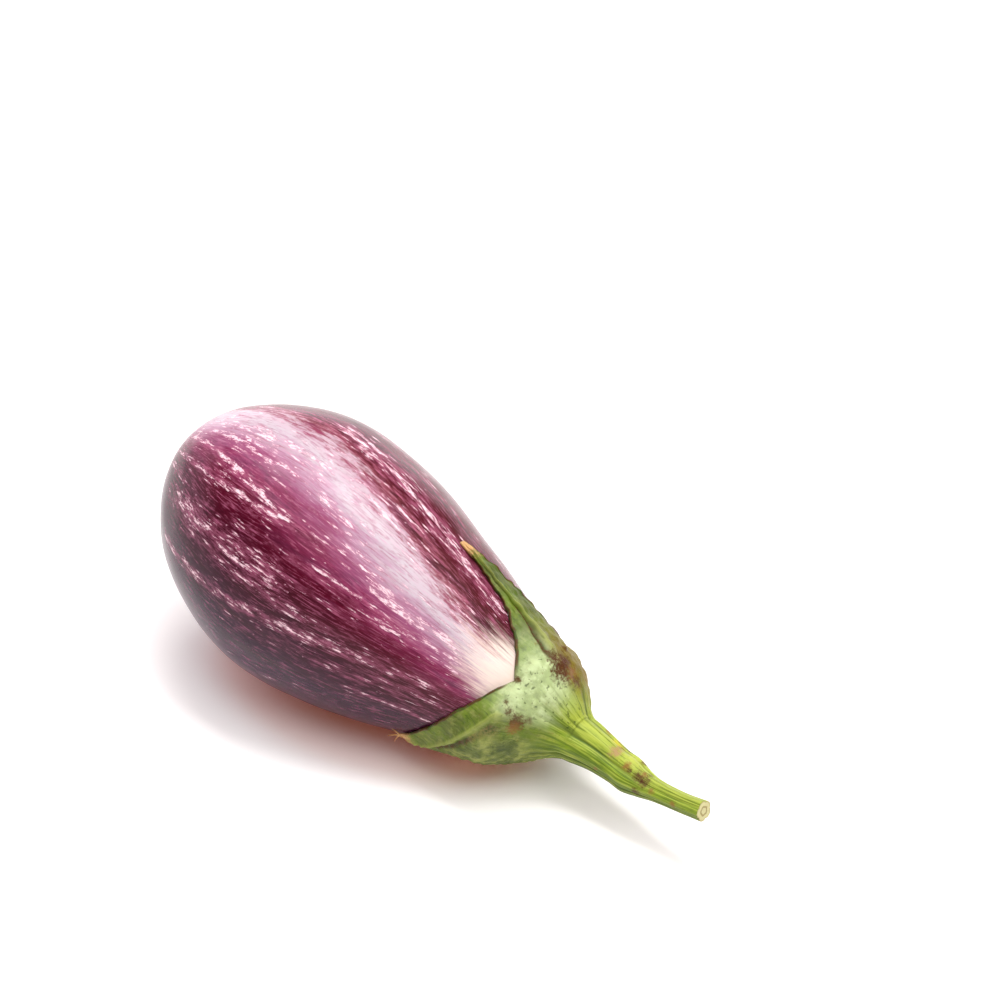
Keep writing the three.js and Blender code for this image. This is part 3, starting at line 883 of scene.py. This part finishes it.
def calyx_material():
    g = Graph("calyx")
    turn, share, _ = g.split(g.map(PLACE))
    angle = g.times(turn, 2 * math.pi)
    across, down, _ = g.split(g.map(SEPAL))
    side = g.math("ABSOLUTE", across)
    here = g.node("TexCoord", {}, output=3)

    def speckle(width, detail=2.0, roughness=0.5):  # width in mm
        return g.speckle(here, 1 / (width * MM), detail, roughness)

    blotch = speckle(7, 5.0, 0.65)
    grit = speckle(1.1, 5.0, 0.75)
    grain = g.wrap(angle, CAP_RADIUS, g.times(share, 180.0))
    fibre = g.noise(g.vector("MULTIPLY", grain, (1.2, 1.2, 0.17)), 6.0, 0.7)

    # sepals: fresh green, duller on the broad half of the lowest one, partly as painted shade, and
    # darker on the upper one as painted shade
    colour = g.mix(g.rise(blotch, 0.38, 0.62), LEAF, LEAF_DULL)
    lowest = g.times(g.rise(turn, 0.40, 0.46), g.rise(turn, 0.70, 0.66))
    # the broad half of the lowest sepal: duller, partly its own colour and partly painted shade
    dull_and_shade = g.times(g.rise(across, 0.16, 0.34), lowest)
    misty = g.mix(g.times(g.rise(blotch, 0.46, 0.62), 0.6), LEAF_DULL, LEAF_MIST)
    colour = g.mix(g.times(dull_and_shade, 0.85), colour, misty)
    colour = g.mix(g.times(g.rise(fibre, 0.52, 0.68), 0.45), colour, LEAF_MIST)
    colour = g.mix(g.times(g.rise(fibre, 0.50, 0.34), 0.60), colour, LEAF_DEEP)
    shade = speckle(3.5, 4.0, 0.6)
    colour = g.mix(g.times(g.rise(shade, 0.50, 0.34), 0.55), colour, LEAF_DEEP)
    colour = g.mix(g.times(g.rise(shade, 0.52, 0.66), 0.35), colour, LEAF_MIST)
    # painted shade: the upper sepal darker green
    upper_sepal_shade = g.times(g.rise(down, -0.1, 0.3), g.rise(turn, 1.0, 1.1))
    colour = g.mix(g.times(upper_sepal_shade, 0.30), colour, LEAF_DEEP)

    # cup: pale and speckled in front, yellowish stripes above, olive on the far shoulder
    front = g.rise(g.math("COSINE", g.math("SUBTRACT", angle, 112 * DEG)), 0.70, 0.93)
    cup = g.times(g.rise(down, 0.42, -0.2), front)
    cup = g.times(cup, g.plus(g.times(g.rise(blotch, 0.40, 0.56), 0.4), 0.6))
    colour = g.mix(g.times(cup, 0.85), colour, MINT)
    shoulder = g.rise(g.math("COSINE", g.math("SUBTRACT", angle, 48 * DEG)), 0.72, 0.96)
    shoulder = g.times(shoulder, g.rise(down, 0.5, -0.2))
    colour = g.mix(g.times(shoulder, 0.7), colour, OLIVE)

    # ribs, grooves and rims
    long = g.times(g.rise(down, -0.7, 0.0), g.rise(down, 1.0, 0.8))
    keel = g.times(g.rise(side, 0.10, 0.02), long)
    # the groove beside the keel: dark green as painted shade, with rust in it
    groove = g.math("ABSOLUTE", g.math("SUBTRACT", across, 0.18))
    groove = g.times(g.rise(groove, 0.10, 0.02), long)
    colour = g.mix(g.times(groove, 0.95), colour, g.mix(g.rise(grit, 0.42, 0.54), LEAF_DEEP, RUST))
    # the keel paler: partly its own colour, partly painted highlight
    colour = g.mix(g.times(keel, 0.5), colour, LEAF_MIST)
    rim = g.times(g.rise(side, 0.86, 0.95), g.rise(down, 0.0, 0.1))
    rim_colour = g.mix(g.rise(speckle(2.5, 3.0), 0.48, 0.60), RUST, LEAF_DEEP)
    colour = g.mix(g.times(rim, 0.9), colour, rim_colour)

    # it runs into the stalk
    along = g.times(g.plus(down, 2.0), -12.0)
    strands = stalk_fibre(g, angle, along)
    stalk = stalk_colour(g, angle, along, strands, blotch)
    into = g.rise(g.plus(down, g.times(g.math("SUBTRACT", strands, 0.5), 0.8)), -1.15, -1.85)
    colour = g.mix(into, colour, stalk)

    # specks, scuffs and dried tips
    speck = g.rise(speckle(1.3, 1.0), 0.60, 0.72)
    crowded = g.plus(g.times(g.times(front, g.rise(down, 0.2, -0.3)), 0.5), 0.15)
    colour = g.mix(g.times(speck, crowded), colour, LEAF_DEEP)
    for point, radius, mark, strength in CALYX_MARKS:
        colour = g.mix(g.times(g.near(here, point, radius, grit), strength), colour, mark)
    colour = g.mix(g.times(g.near(here, NUB, 1.4, 0.5), 0.9), colour, RUST)
    fleck = g.times(g.rise(speckle(2.2, 4.0, 0.7), 0.62, 0.74), 0.4)
    colour = g.mix(fleck, colour, OLIVE)
    colour = g.mix(g.rise(g.plus(down, g.times(grit, 0.3)), 1.0, 1.1), colour, DRIED)

    height = g.plus(g.times(fibre, 0.8), g.times(blotch, 0.6))
    height = g.math("SUBTRACT", height, g.times(speck, 0.3))
    g.set(Base_Color=colour, Roughness=g.plus(g.times(blotch, 0.3), 0.35),
          Normal=g.bump(height, 0.6, 0.0006), Specular_IOR_Level=0.28)
    return g.material


def stem_material():
    g = Graph("stem")
    turn, share, _ = g.split(g.map(PLACE))
    angle = g.times(turn, 2 * math.pi)
    here = g.node("TexCoord", {}, output=3)
    blotch = g.speckle(here, 143, 5.0, 0.65)
    grit = g.speckle(here, 900, 5.0, 0.75)
    along = g.times(g.math("MINIMUM", share, 1.0), STEM_LENGTH)
    fibre = stalk_fibre(g, angle, along)
    colour = stalk_colour(g, angle, along, fibre, blotch)
    middle, _ = spline(STEM_PATH, STEM_ROWS + 1)
    for at, degrees, radius, mark, strength in STEM_MARKS:
        x, y, z, thick = middle[round(at * STEM_ROWS)]
        point = (x, y + thick * math.cos(degrees * DEG), z + thick * math.sin(degrees * DEG))
        colour = g.mix(g.times(g.near(here, point, radius, grit), strength), colour, mark)
    fleck = g.rise(g.speckle(here, 560, 4.0, 0.7), 0.62, 0.74)
    colour = g.mix(g.times(fleck, 0.4), colour, OLIVE)

    # cut face: pale flesh, a darker ring round the pith and a brown rim
    cut = g.rise(share, 1.0, 1.01)
    radius = g.math("SUBTRACT", 2.0, share)
    ring = g.math("ABSOLUTE", g.math("SUBTRACT", radius, 0.42))
    face = g.mix(g.times(g.rise(ring, 0.14, 0.04), 0.8), CUT, CUT_RING)
    face = g.mix(g.times(g.rise(radius, 0.84, 0.98), 0.7), face, CUT_RING)
    face = g.mix(g.times(g.rise(grit, 0.55, 0.68), 0.5), face, CUT_RING)
    colour = g.mix(cut, colour, face)
    g.set(Base_Color=colour, Roughness=g.plus(g.times(blotch, 0.3), 0.33),
          Normal=g.bump(g.plus(fibre, g.times(blotch, 0.5)), 0.5, 0.0005),
          Specular_IOR_Level=0.28)
    return g.material


# ---------------------------------------------------------------- the pieces

fruit = make_fruit(skin_material())
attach(fruit, "root")
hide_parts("fruit")

calyx = make_calyx(calyx_material())
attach(calyx, "root")
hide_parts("calyx")

stem = make_stem(stem_material())
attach(stem, "root")
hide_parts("stem")

# ---------------------------------------------------------------- studio

# Camera, measured from the fruit's own frame once it is tipped down, in millimetres
LOOK_AT = np.array([69.16, 73.0, 30.0])
CAMERA_AZIMUTH = 38.15 * DEG
CAMERA_ELEVATION = 34 * DEG
CAMERA_DISTANCE = 787.5
FOCAL_SHARE = 2.371  # focal length over the frame's width
SENSOR_WIDTH = 36

FLOOR_SIZE = 12.0
FLOOR_WHITE = srgb(250, 248, 247)
FLOOR_DROP = 0.0002  # m below z = 0, so that the two don't flicker
FLOOR_GLOW = (0.15, 0.135, 0.135, 1.0)
UNDER_GLOW = (0.115, 0.02, 0.0, 1.0)  # warm bounce close under the eggplant
UNDER_AT = -0.025  # m along x, where the belly rests
UNDER_EDGE = (0.044, 0.030)  # m from there, between which the warm glow comes up
UNDER_STRETCH = 0.6  # shortens distances along x, so the glow is longer that way
FAR_GLOW = (0.95, 0.95, 0.95, 1.0)  # the floor fades into a white backdrop
FAR_EDGE = (0.4, 1.4)  # m from the middle, between which it does
HORIZON = (0.12, 0.3)  # z of a direction, between which the backdrop gives way to the sky
AIM_HEIGHT = 0.04  # m above the floor, where the lamps point


def make_camera():
    data = bpy.data.cameras.new("camera")
    data.sensor_width = SENSOR_WIDTH
    data.lens = SENSOR_WIDTH * FOCAL_SHARE
    data.clip_end = 50
    camera = bpy.data.objects.new("camera", data)
    back = Vector((math.sin(CAMERA_AZIMUTH) * math.cos(CAMERA_ELEVATION),
                   -math.cos(CAMERA_AZIMUTH) * math.cos(CAMERA_ELEVATION),
                   math.sin(CAMERA_ELEVATION)))
    target = Vector(((LOOK_AT[0] + SHIFT[0]) * MM, (LOOK_AT[1] + SHIFT[1]) * MM, LOOK_AT[2] * MM))
    camera.location = target + back * CAMERA_DISTANCE * MM
    camera.rotation_euler = (-back).to_track_quat("-Z", "Y").to_euler()
    bpy.context.scene.collection.objects.link(camera)
    bpy.context.scene.camera = camera


def make_floor():
    half = FLOOR_SIZE / 2
    mesh = bpy.data.meshes.new("floor")
    mesh.from_pydata([(-half, -half, 0), (half, -half, 0), (half, half, 0), (-half, half, 0)],
                     [], [(0, 1, 2, 3)])
    g = Graph("floor")
    x, y, _ = g.split(g.node("TexCoord", {}, output=3))
    away = g.math("SQRT", g.plus(g.times(x, x), g.times(y, y)))
    aside = g.times(g.math("SUBTRACT", x, UNDER_AT), UNDER_STRETCH)
    under = g.math("SQRT", g.plus(g.times(aside, aside), g.times(y, y)))
    glow = g.mix(g.rise(under, *UNDER_EDGE), FLOOR_GLOW, UNDER_GLOW)
    g.set(Base_Color=FLOOR_WHITE, Roughness=0.8, Specular_IOR_Level=0.2,
          Emission_Color=g.mix(g.rise(away, *FAR_EDGE), glow, FAR_GLOW),
          Emission_Strength=1.0)
    mesh.materials.append(g.material)
    floor = bpy.data.objects.new("floor", mesh)
    floor.location.z = -FLOOR_DROP
    bpy.context.scene.collection.objects.link(floor)


def softbox(name, azimuth, elevation, distance, width, height, radiance, colour=(1, 1, 1)):
    """A panel that faces the eggplant. Azimuth 0 is towards -Y and 90 towards +X."""
    data = bpy.data.lights.new(name, "AREA")
    data.shape = "RECTANGLE"
    data.size = width
    data.size_y = height
    data.energy = radiance * width * height * math.pi
    data.color = colour
    lamp = bpy.data.objects.new(name, data)
    azimuth, elevation = azimuth * DEG, elevation * DEG
    way = Vector((math.sin(azimuth) * math.cos(elevation),
                  -math.cos(azimuth) * math.cos(elevation), math.sin(elevation)))
    lamp.location = way * distance + Vector((0, 0, AIM_HEIGHT))
    lamp.rotation_euler = way.to_track_quat("Z", "Y").to_euler()
    bpy.context.scene.collection.objects.link(lamp)


def make_world(above, horizon):
    """Faint light from above, and a pale backdrop round the horizon."""
    world = bpy.data.worlds.new("world")
    world.use_nodes = True
    nodes, links = world.node_tree.nodes, world.node_tree.links
    split = nodes.new("ShaderNodeSeparateXYZ")
    height = nodes.new("ShaderNodeMapRange")
    height.interpolation_type = "SMOOTHSTEP"
    height.inputs["From Min"].default_value, height.inputs["From Max"].default_value = HORIZON
    blend = nodes.new("ShaderNodeMix")
    blend.data_type = "RGBA"
    blend.inputs[6].default_value = horizon
    blend.inputs[7].default_value = above
    links.new(nodes.new("ShaderNodeTexCoord").outputs["Generated"], split.inputs[0])
    links.new(split.outputs[2], height.inputs["Value"])
    links.new(height.outputs[0], blend.inputs[0])
    links.new(blend.outputs[2], nodes["Background"].inputs["Color"])
    bpy.context.scene.world = world


make_camera()
make_floor()
softbox("key", azimuth=175, elevation=83, distance=1.0, width=0.75, height=0.22, radiance=11.0)
softbox("sky", azimuth=60, elevation=86, distance=1.2, width=2.2, height=1.8, radiance=1.5)
softbox("back_left", azimuth=-140, elevation=56, distance=1.3, width=0.9, height=0.7, radiance=1.0)
softbox("right", azimuth=72, elevation=60, distance=1.3, width=0.75, height=0.6, radiance=2.6)
softbox("left_fill", azimuth=-78, elevation=8, distance=1.5, width=1.3, height=0.8, radiance=0.75,
        colour=(0.88, 0.8, 1.0))
softbox("back_panel", azimuth=-140, elevation=10, distance=2.0, width=3.0, height=0.8, radiance=1.8,
        colour=(1.0, 0.86, 0.95))
make_world(above=(0.095, 0.070, 0.065, 1.0), horizon=(0.45, 0.40, 0.43, 1.0))
bpy.context.scene.view_settings.view_transform = "Standard"
